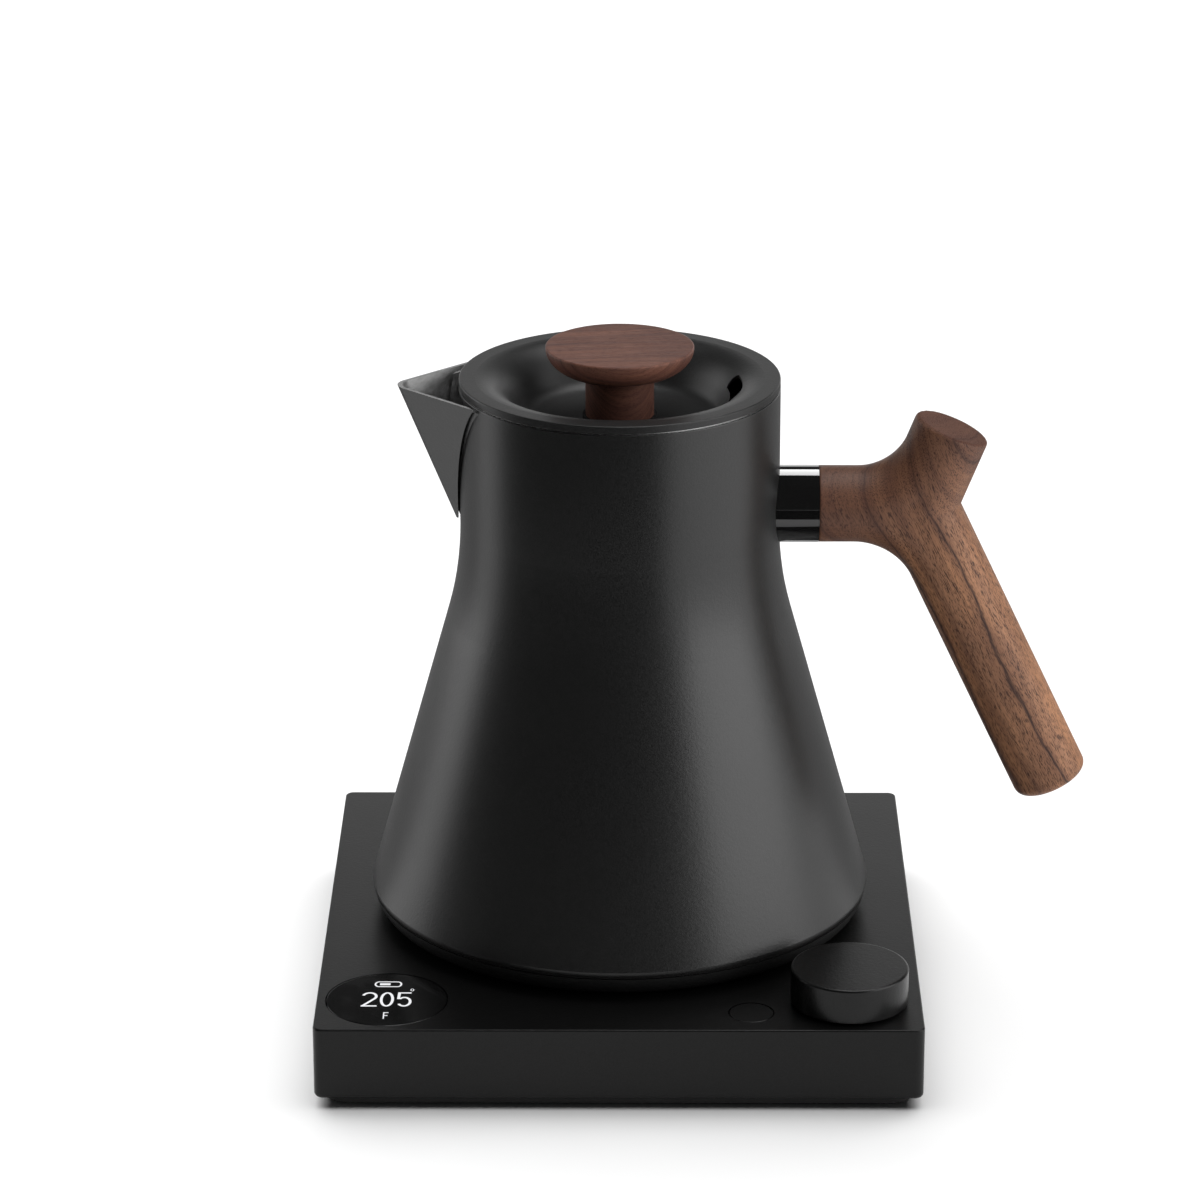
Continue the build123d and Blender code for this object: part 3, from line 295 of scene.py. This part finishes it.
class Finish:
    """One procedural material: a node tree with short calls for the patterns that the finishes share."""

    def __init__(self, name, **shader_values):
        self.material = bpy.data.materials.new(name)
        self.material.use_nodes = True
        self.tree = self.material.node_tree
        self.shader = self.tree.nodes["Principled BSDF"]
        for label, value in shader_values.items():
            self.shader.inputs[label.replace("_", " ")].default_value = value
        self.place = self.node("ShaderNodeTexCoord").outputs["Object"]

    def node(self, kind, inputs=None, **settings):
        """A new node with its settings, and with values or other sockets on its inputs."""
        made = self.tree.nodes.new(kind)
        for key, value in settings.items():
            setattr(made, key, value)
        for key, value in (inputs or {}).items():
            self.put(made.inputs[key], value)
        return made

    def put(self, socket, value):
        """Links another socket to this one, or sets a plain value on it."""
        if isinstance(value, bpy.types.NodeSocket):
            self.tree.links.new(value, socket)
        else:
            socket.default_value = value

    def set(self, label, value):
        """Puts a socket or a value on one of the shader's inputs."""
        self.put(self.shader.inputs[label], value)

    def math(self, operation, a, b):
        return self.node("ShaderNodeMath", {0: a, 1: b}, operation=operation).outputs[0]

    def vector(self, operation, a, b=(0, 0, 0)):
        return self.node("ShaderNodeVectorMath", {0: a, 1: b}, operation=operation).outputs[0]

    def dot(self, a, b):
        return self.node("ShaderNodeVectorMath", {0: a, 1: b}, operation="DOT_PRODUCT").outputs["Value"]

    def join(self, x, y, z):
        return self.node("ShaderNodeCombineXYZ", {0: x, 1: y, 2: z}).outputs[0]

    def noise(self, scale, detail=2.0, roughness=0.5, place=None):
        return self.node("ShaderNodeTexNoise", {
            "Vector": place or self.place, "Scale": scale, "Detail": detail, "Roughness": roughness,
        }).outputs["Fac"]

    def ramp(self, value, low, high, to_low=0.0, to_high=1.0):
        """value between low and high, brought smoothly to the range from to_low to to_high."""
        return self.node("ShaderNodeMapRange", {
            "Value": value, "From Min": low, "From Max": high, "To Min": to_low, "To Max": to_high,
        }, interpolation_type="SMOOTHSTEP").outputs["Result"]

    def mix(self, share, a, b):
        """Colour a, or b where share is 1."""
        made = self.node("ShaderNodeMix", data_type="RGBA")
        for socket, value in ((0, share), (6, a), (7, b)):
            self.put(made.inputs[socket], value)
        return made.outputs[2]

    def blend(self, share, a, b):
        """Value a, or b where share is 1."""
        made = self.node("ShaderNodeMix", data_type="FLOAT")
        for socket, value in ((0, share), (2, a), (3, b)):
            self.put(made.inputs[socket], value)
        return made.outputs[0]

    def bump(self, height, distance, strength, after=None):
        """A bumped normal, on top of the one that after gives."""
        inputs = {"Height": height, "Distance": distance, "Strength": strength}
        if after:
            inputs["Normal"] = after
        return self.node("ShaderNodeBump", inputs).outputs["Normal"]

    def facing_axis(self, axis):
        """1 on faces that look towards an upright axis or straight up, 0 on faces that look outwards."""
        flat = self.vector("MULTIPLY", self.vector("SUBTRACT", self.place, tuple(axis)), (1, 1, 0))
        normal = self.node("ShaderNodeNewGeometry").outputs["Normal"]
        return self.ramp(self.dot(self.vector("NORMALIZE", flat), normal), 0.30, 0.20)

    def rounds(self, axis, fineness):
        """Coordinates that run round an upright axis, for lines left by turning or spinning."""
        offset = self.vector("SUBTRACT", self.place, tuple(axis))
        x, y, z = self.node("ShaderNodeSeparateXYZ", {0: offset}).outputs
        flat = self.vector("MULTIPLY", offset, (1, 1, 0))
        reach = self.node("ShaderNodeVectorMath", {0: flat}, operation="LENGTH").outputs["Value"]
        return self.join(
            self.math("MULTIPLY", reach, fineness),
            self.math("ARCTAN2", y, x),
            self.math("MULTIPLY", z, fineness))


# ---------------------------------------------------------------- finishes

def coat_layers(f, tint, roughness):
    """Powder coat: a fine pebbled skin with cloudy changes in how it takes light.
    Returns its colour, roughness and normal."""
    grain = f.noise(2600, 3)
    pebbles = f.noise(1100, 2)
    cloud = f.noise(14, 3)
    colour = f.mix(f.ramp(grain, 0.3, 0.7), grey(tint * 0.7), grey(tint * 1.35))
    patches = f.ramp(cloud, 0.3, 0.7, roughness - 0.015, roughness + 0.015)
    rough = f.math("ADD", patches, f.ramp(grain, 0.2, 0.8, -0.04, 0.04))
    coarse = f.bump(pebbles, 0.00005, 0.6)
    return colour, rough, f.bump(grain, 0.00003, 0.6, after=coarse)


def powder_coat(name, tint, roughness, specular):
    """Powder coat all over."""
    f = Finish(name, Specular_IOR_Level=specular)
    colour, rough, normal = coat_layers(f, tint, roughness)
    f.set("Base Color", colour)
    f.set("Roughness", rough)
    f.set("Normal", normal)
    return f.material


def coated_vessel(name, tint, roughness, axis):
    """Powder coat outside, satin steel with faint spinning lines inside and on cut rims."""
    f = Finish(name)
    colour, rough, normal = coat_layers(f, tint, roughness)
    inside = f.facing_axis(axis)
    lines = f.noise(1.0, 4, place=f.rounds(axis, 900))
    stains = f.noise(60, 4, 0.6)
    steel = f.mix(f.ramp(lines, 0.3, 0.7), grey(0.38), grey(0.46))
    steel = f.mix(f.ramp(stains, 0.55, 0.75, 0, 0.25), steel, (0.40, 0.36, 0.31, 1))
    f.set("Base Color", f.mix(inside, colour, steel))
    f.set("Metallic", inside)
    f.set("Roughness", f.blend(inside, rough, f.ramp(lines, 0.2, 0.8, 0.40, 0.54)))
    f.set("Normal", normal)
    return f.material


def walnut(name, light, dark, along, gloss, porosity, depth_share=0.45, veins=None, pale_towards=None,
           end_grain_and_shade=None):
    """Oiled walnut: soft growth bands, thin near-black veins that follow the grain, and short dark pores.
    along is the grain's direction, and depth_share says how fast the bands change through the wood.
    veins is (place of one, gap to the next) across the grain, and needs pale_towards. That is (start, end),
    between which the wood grows paler. end_grain_and_shade is (point, direction) of a sawn end, beyond which
    the wood
    is darker: partly end grain, partly painted shade on the top-facing end."""
    f = Finish(name, Specular_IOR_Level=gloss)
    run = Vector(along).normalized()
    side = run.cross(Vector((0, 1, 0))).normalized()
    lengthways = f.dot(f.place, tuple(run))
    across = f.dot(f.place, tuple(side))
    through = f.dot(f.place, tuple(run.cross(side)))

    def grained(run_scale, side_scale):
        """Coordinates for a pattern that is drawn out along the grain."""
        return f.join(
            f.math("MULTIPLY", lengthways, run_scale),
            f.math("MULTIPLY", across, side_scale),
            f.math("MULTIPLY", through, side_scale))

    waver = f.noise(1.0, 3, place=grained(22, 50))
    bent = f.math("ADD", across, f.math("MULTIPLY", f.math("SUBTRACT", waver, 0.5), WAVER))
    bent = f.math("ADD", bent, f.math("MULTIPLY", through, depth_share))
    bands_at = f.join(f.math("MULTIPLY", bent, 170), f.math("MULTIPLY", lengthways, 5), 0.0)
    bands = f.noise(1.0, 2, 0.5, place=bands_at)
    fine_bands = f.noise(4.5, 3, 0.6, place=bands_at)
    fibres = f.noise(1.0, 3, 0.6, place=grained(160, 2400))
    pores = f.noise(1.0, 1, 0.4, place=grained(560, 4600))
    blotches = f.noise(1.0, 3, place=grained(30, 70))

    palest, darkest = (*light, 1), (*dark, 1)
    middle = (*[a * 0.55 + b * 0.45 for a, b in zip(light, dark)], 1)
    wood = f.mix(f.ramp(fine_bands, 0.35, 0.65), palest, middle)
    wood = f.mix(f.ramp(bands, 0.47, 0.62, 0, 0.45), wood, darkest)
    wood = f.mix(f.ramp(blotches, 0.45, 0.70, 0, 0.4), wood, darkest)
    wood = f.mix(f.ramp(fibres, 0.35, 0.7, 0, 0.3), wood, middle)
    if pale_towards:
        start, end = pale_towards
        way = Vector(end) - Vector(start)
        share = f.dot(f.vector("SUBTRACT", f.place, tuple(start)), tuple(way / way.length_squared))
        wood = f.mix(f.ramp(share, 0.0, 1.0, 0.69, 0.0), wood, darkest)
    rough = f.ramp(fibres, 0.3, 0.7, 0.44, 0.56)
    if end_grain_and_shade:
        point, direction = end_grain_and_shade
        beyond = f.dot(f.vector("SUBTRACT", f.place, tuple(point)), tuple(direction))
        sawn = f.ramp(beyond, *END_GRAIN_AND_SHADE_FADE)
        # Beyond the sawn end the wood is mixed towards its darkest colour: partly end grain, partly painted
        # shade on the top-facing end.
        wood = f.mix(f.math("MULTIPLY", sawn, 0.7), wood, darkest)
        rough = f.blend(sawn, rough, 0.85)
    if veins:
        position, gap = veins
        off_vein = f.math("PINGPONG", f.math("SUBTRACT", bent, position), gap / 2)
        shaded = f.ramp(off_vein, 0.0, VEIN_SHADE_REACH, 0.5, 0.0)
        shaded = f.math("MULTIPLY", shaded, f.ramp(blotches, 0.3, 0.6, 0.5, 1))
        wood = f.mix(shaded, wood, darkest)
        vein = f.ramp(off_vein, VEIN_CORE, VEIN_EDGE, 1, 0)
        vein = f.math("MULTIPLY", vein, f.ramp(fibres, 0.3, 0.6, 0.45, 1.0))
        vein = f.math("MULTIPLY", vein, f.ramp(share, 0.0, 0.8, 0.55, 0.95))
        wood = f.mix(vein, wood, shade_of(dark, 0.35))
    pore_share = f.ramp(fine_bands, 0.3, 0.6, porosity / 2, porosity)
    porous = f.math("MULTIPLY", f.ramp(pores, 0.53, 0.60), pore_share)
    f.set("Base Color", f.mix(porous, wood, shade_of(dark, 0.45)))
    f.set("Roughness", f.math("ADD", rough, f.math("MULTIPLY", porous, 0.15)))
    f.set("Normal", f.bump(f.math("SUBTRACT", fibres, porous), 0.00004, 0.5))
    return f.material


def black_plastic(name, dark=0.010, light=0.022, specular=0.5):
    """Moulded plastic with a fine spark-eroded texture and a few rubbed patches."""
    f = Finish(name, Specular_IOR_Level=specular)
    grain = f.noise(3200, 2)
    rubbed = f.noise(45, 4, 0.6)
    f.set("Base Color", f.mix(grain, grey(dark), grey(light)))
    rough = f.ramp(grain, 0.3, 0.7, 0.50, 0.62)
    f.set("Roughness", f.math("SUBTRACT", rough, f.ramp(rubbed, 0.6, 0.75, 0, 0.12)))
    f.set("Normal", f.bump(grain, 0.00003, 0.7))
    return f.material


def gloss_black(name):
    """Polished black, with hair-fine wipe marks that only a highlight shows."""
    f = Finish(name, Coat_Weight=0.3, Coat_Roughness=0.02)
    wipes = f.noise(1.0, 3, place=f.vector("MULTIPLY", f.place, (60, 2500, 2500)))
    smears = f.noise(90, 3)
    f.set("Base Color", f.mix(smears, grey(0.004), grey(0.007)))
    rough = f.ramp(wipes, 0.4, 0.7, 0.03, 0.07)
    f.set("Roughness", f.math("ADD", rough, f.ramp(smears, 0.5, 0.8, 0, 0.04)))
    f.set("Normal", f.bump(wipes, 0.000004, 0.3))
    return f.material


def display_glass(name):
    """Black glass over the display, with a faint oily smear and fine dust."""
    f = Finish(name, Specular_IOR_Level=0.3)
    smear = f.noise(120, 4, 0.6)
    dust = f.noise(5000, 1)
    f.set("Base Color", f.mix(f.ramp(dust, 0.70, 0.78), grey(0.003), grey(0.012)))
    f.set("Roughness", f.ramp(smear, 0.45, 0.75, 0.11, 0.16))
    return f.material


def steel(name, axis, tint):
    """Satin steel with lines left by turning, and a few cloudy marks."""
    f = Finish(name, Metallic=1.0)
    lines = f.noise(1.0, 4, place=f.rounds(axis, 1500))
    marks = f.noise(110, 4, 0.6)
    colour = f.mix(f.ramp(lines, 0.3, 0.7), grey(tint * 0.85), grey(tint * 1.1))
    f.set("Base Color", f.mix(f.ramp(marks, 0.55, 0.8, 0, 0.3), colour, (tint, tint * 0.92, tint * 0.82, 1)))
    f.set("Roughness", f.ramp(lines, 0.25, 0.75, 0.24, 0.40))
    f.set("Normal", f.bump(lines, 0.00001, 0.4))
    return f.material


def rolled_metal(name, colour):
    """Rolled plate or turned brass: straight fine lines and dull patches."""
    f = Finish(name, Metallic=1.0)
    lines = f.noise(1.0, 3, place=f.vector("MULTIPLY", f.place, (60, 3000, 3000)))
    dull = f.noise(160, 4, 0.6)
    bright = f.mix(lines, shade_of(colour, 0.8), shade_of(colour, 1.05))
    f.set("Base Color", f.mix(f.ramp(dull, 0.5, 0.8, 0, 0.5), bright, shade_of(colour, 0.55)))
    rough = f.ramp(lines, 0.3, 0.7, 0.22, 0.34)
    f.set("Roughness", f.math("ADD", rough, f.ramp(dull, 0.5, 0.8, 0, 0.2)))
    f.set("Normal", f.bump(lines, 0.00001, 0.4))
    return f.material


def rubber(name):
    """Moulded rubber with a fine skin and a faint grey bloom."""
    f = Finish(name, Specular_IOR_Level=0.35)
    grain = f.noise(1800, 3)
    bloom = f.noise(70, 4, 0.6)
    f.set("Base Color", f.mix(f.ramp(bloom, 0.45, 0.8), grey(0.010), grey(0.028)))
    f.set("Roughness", f.ramp(grain, 0.3, 0.7, 0.62, 0.80))
    f.set("Normal", f.bump(grain, 0.00004, 0.6))
    return f.material


def circuit_board(name):
    """Green solder mask over copper tracks, with bare pads."""
    f = Finish(name)
    flat = f.vector("MULTIPLY", f.place, (1, 1, 0))
    cells = f.node("ShaderNodeTexVoronoi", {"Vector": flat, "Scale": 210.0, "Randomness": 0.8},
                   feature="DISTANCE_TO_EDGE")
    blocks = f.node("ShaderNodeTexVoronoi", {"Vector": flat, "Scale": 330.0, "Randomness": 0.55},
                    distance="CHEBYCHEV")
    tracks = f.ramp(cells.outputs["Distance"], 0.06, 0.03)
    pads = f.ramp(blocks.outputs["Distance"], 0.16, 0.12)
    weave = f.noise(2400, 2)
    mask = f.mix(weave, (0.008, 0.060, 0.026, 1), (0.012, 0.085, 0.036, 1))
    mask = f.mix(tracks, mask, (0.030, 0.150, 0.060, 1))
    f.set("Base Color", f.mix(pads, mask, (0.60, 0.55, 0.42, 1)))
    f.set("Metallic", pads)
    f.set("Roughness", f.ramp(weave, 0.3, 0.7, 0.28, 0.42))
    f.set("Normal", f.bump(f.math("ADD", tracks, pads), 0.00004, 0.6))
    return f.material


def component_case(name):
    """Moulded cases of small electric parts: slightly different greys, matt with a soft sheen."""
    f = Finish(name)
    grain = f.noise(3000, 2)
    lot = f.noise(28, 0)
    base = f.mix(f.ramp(lot, 0.40, 0.60), (0.030, 0.032, 0.036, 1), (0.085, 0.080, 0.060, 1))
    f.set("Base Color", f.mix(f.ramp(grain, 0.2, 0.8, 0, 0.4), base, grey(0.02)))
    f.set("Roughness", f.ramp(grain, 0.3, 0.7, 0.38, 0.55))
    f.set("Normal", f.bump(grain, 0.00003, 0.5))
    return f.material


def glowing_sign(name):
    """Lit segments: a slight unevenness across each stroke."""
    f = Finish(name, Roughness=0.4, Emission_Strength=0.9)
    uneven = f.noise(900, 2)
    f.set("Base Color", f.mix(uneven, grey(0.02), grey(0.03)))
    f.set("Emission Color", f.mix(uneven, (0.93, 0.95, 1.0, 1), (1.0, 1.0, 1.0, 1)))
    return f.material


def paint(material, *names):
    """Gives CAD nodes one material."""
    for name in names:
        if not nodes[name].material_slots:
            nodes[name].data.materials.append(material)
        for slot in nodes[name].material_slots:
            slot.material = material


# ---------------------------------------------------------------- signs on the display

def arc_points(centre, radius_x, radius_y, start, end, steps):
    """Points along part of an ellipse, from start to end in degrees."""
    angles = [math.radians(start + (end - start) * i / steps) for i in range(steps + 1)]
    return [(centre[0] + radius_x * math.cos(a), centre[1] + radius_y * math.sin(a)) for a in angles]


def stroke(mesh, points, width, closed=False):
    """A flat ribbon of one width along points, added to a bmesh. Sizes in mm from the display's centre."""
    count = len(points)
    pairs = []
    for i, point in enumerate(points):
        here = Vector(point)
        before = Vector(points[(i - 1) % count]) if closed or i else here
        after = Vector(points[(i + 1) % count]) if closed or i < count - 1 else here
        way = (after - before).normalized()
        first, second = here - before, after - here
        bend = first.angle(second) if first.length and second.length else 0.0
        half = width / 2 / math.cos(min(bend, SHARPEST_BEND) / 2)
        side = Vector((-way.y, way.x)) * half
        pairs.append([
            mesh.verts.new((
                DISPLAY_CENTRE.x + (here.x + sign * side.x) * MM,
                DISPLAY_CENTRE.y + (here.y + sign * side.y) * MM,
                window_high.z + SIGN_LIFT,
            )) for sign in (1, -1)
        ])
    for i in range(count if closed else count - 1):
        a, b = pairs[i], pairs[(i + 1) % count]
        mesh.faces.new((a[0], a[1], b[1], b[0]))


def digit_two(mesh, left, width, low, high, pen):
    """An open bowl at the top, a slanting neck and a flat foot."""
    inner = pen / 2
    radius_x = (width - pen) / 2
    radius_y = radius_x * 1.25
    bowl = arc_points((left + width / 2, high - inner - radius_y), radius_x, radius_y, 165, -38, 26)
    stroke(mesh, bowl + [(left + inner * 1.1, low + inner)], pen)
    stroke(mesh, [(left, low + inner), (left + width, low + inner)], pen)


def digit_zero(mesh, left, width, low, high, pen):
    """One oval ring."""
    centre = (left + width / 2, (low + high) / 2)
    ring = arc_points(centre, (width - pen) / 2, (high - low - pen) / 2, 0, 360, 48)[:-1]
    stroke(mesh, ring, pen, closed=True)


def digit_five(mesh, left, width, low, high, pen):
    """A flat top, a short upright and a round bowl."""
    inner = pen / 2
    radius_x = (width - pen) / 2
    radius_y = (high - low) * 0.30
    bowl = arc_points((left + width / 2, low + inner + radius_y), radius_x, radius_y, 140, -150, 34)
    top = [(left + width * 0.94, high - inner), (left + inner * 1.5, high - inner)]
    stroke(mesh, top + [(left + inner, bowl[0][1] - inner * 0.2)], pen)
    stroke(mesh, bowl, pen)


def make_signs():
    """A reading of 205 degrees, its unit, and a plain part-filled pill above as the mode sign."""
    low, high, pen = READING_LOW, READING_HIGH, READING_PEN
    names = ("display_reading", "display_degree_ring", "display_unit_sign", "display_mode_sign")
    reading, degree, unit, mode = shapes = [bmesh.new() for _ in names]
    digit_two(reading, *TWO_PLACE, low, high, pen)
    digit_zero(reading, *ZERO_PLACE, low, high, pen)
    digit_five(reading, *FIVE_PLACE, low, high, pen)
    stroke(degree, arc_points(DEGREE_AT, *DEGREE_RADII, 0, 360, 24)[:-1], DEGREE_PEN, closed=True)
    stroke(unit, [(UNIT_LEFT, UNIT_LOW), (UNIT_LEFT, UNIT_HIGH)], UNIT_UPRIGHT_PEN)
    for bar_y, bar_end in UNIT_BARS:
        stroke(unit, [(UNIT_LEFT, bar_y), (bar_end, bar_y)], UNIT_BAR_PEN)
    right_end = arc_points((PILL_END_X, PILL_Y), *PILL_RADII, -90, 90, 12)
    left_end = arc_points((-PILL_END_X, PILL_Y), *PILL_RADII, 90, 270, 12)
    stroke(mode, right_end + left_end, PILL_PEN, closed=True)
    stroke(mode, [(x, PILL_Y) for x in PILL_FILL], PILL_FILL_PEN)
    glow = glowing_sign("display_glow")
    for name, shape in zip(names, shapes):
        data = bpy.data.meshes.new(name)
        shape.to_mesh(data)
        shape.free()
        data.materials.append(glow)
        add(name, data, "base")


# ---------------------------------------------------------------- walnut handle

def grow_limbs_together(mesh):
    """Smooths the inner side of the place where the limbs meet, in nested zones."""
    meeting = Vector((HANDLE_START + MEETING_FROM_COLLAR, HANDLE_AXIS.y, HANDLE_AXIS.z))
    shape = bmesh.new()
    shape.from_mesh(mesh)
    for reach, outer_limit in SMOOTHING_ZONES:
        near = [v for v in shape.verts if (v.co - meeting).length < reach
                and HANDLE_START + UNSMOOTHED_STUB < v.co.x < meeting.x + outer_limit]
        for _ in range(SMOOTHING_PASSES):
            bmesh.ops.smooth_vert(
                shape, verts=near, factor=0.5, use_axis_x=True, use_axis_y=True, use_axis_z=True)
    shape.to_mesh(mesh)
    shape.free()


def make_walnut_handle(material):
    """The CAD branch with its limbs grown into each other, as turned and sanded wood has them."""
    source = nodes["handle"]
    piece = add("walnut_handle", source.data.copy())
    piece.matrix_world = source.matrix_world.copy()
    remesh = piece.modifiers.new("even_mesh", "REMESH")
    remesh.mode = "VOXEL"
    remesh.voxel_size = VOXEL
    depsgraph = bpy.context.evaluated_depsgraph_get()
    piece.data = bpy.data.meshes.new_from_object(piece.evaluated_get(depsgraph))
    piece.modifiers.clear()
    grow_limbs_together(piece.data)
    for polygon in piece.data.polygons:
        polygon.use_smooth = True
    piece.data.name = "walnut_handle"
    piece.data.materials.clear()
    piece.data.materials.append(material)
    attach(piece, "kettle")
    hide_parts("handle")


# ---------------------------------------------------------------- the scene

make_camera()
make_world()
make_lights(make_floor())
make_flag("front_flag", shade=0.01, start=-92, end=32, near=0.262, far=5.0)
make_flag("back_flag", shade=0.3, start=115, end=245, near=0.135, far=1.2)
set_view()

finishes = {
    "matte_black_steel": powder_coat("lid_powder_coat", tint=0.009, roughness=0.42, specular=0.38),
    "base_coat": powder_coat("control_powder_coat", tint=0.003, roughness=0.30, specular=0.30),
    "walnut": walnut(
        "knob_walnut", light=(0.200, 0.085, 0.056), dark=(0.050, 0.022, 0.020), along=KNOB_GRAIN,
        gloss=0.20, porosity=0.35, depth_share=1.3),
    "gloss_black": gloss_black("collar_gloss"),
    "display_glass": display_glass("display_glass"),
    "display_unit": gloss_black("display_unit_gloss"),
    "black_plastic": black_plastic("black_plastic"),
    "bare_steel": steel("turned_steel", KETTLE_AXIS, tint=0.55),
    "aluminium_plate": rolled_metal("aluminium_plate", (0.78, 0.78, 0.79)),
    "brass": rolled_metal("brass", (0.78, 0.60, 0.30)),
    "black_rubber": rubber("black_rubber"),
    "circuit_board": circuit_board("circuit_board"),
    "component_case": component_case("component_case"),
}
for part in frame["record"]["subparts"]:
    paint(finishes[part["material_slot"]], part["node"])
paint(coated_vessel("vessel_powder_coat", tint=0.008, roughness=0.34, axis=KETTLE_AXIS),
      "kettle_body", "pour_spout")
paint(powder_coat("case_powder_coat", tint=0.003, roughness=0.34, specular=0.24),
      "base_case", "button_cap")
# Both bottom covers stand in shade under the kettle and under the base. Their plastic is painted darker than
# the other black plastic, as painted shade.
paint(black_plastic("plastic_with_painted_shade", dark=0.004, light=0.009, specular=0.3),
      "kettle_bottom_cover", "base_bottom_cover")

make_walnut_handle(walnut(
    "grip_walnut", light=(0.405, 0.193, 0.096), dark=(0.080, 0.032, 0.021), along=GRIP_DIRECTION,
    gloss=0.32, porosity=0.9,
    veins=(GRIP_VEIN_AT, GRIP_VEIN_GAP),
    pale_towards=(GRIP_DARK_END, GRIP_PALE_END),
    end_grain_and_shade=(BRANCH_END, BRANCH_DIRECTION),
))
make_signs()
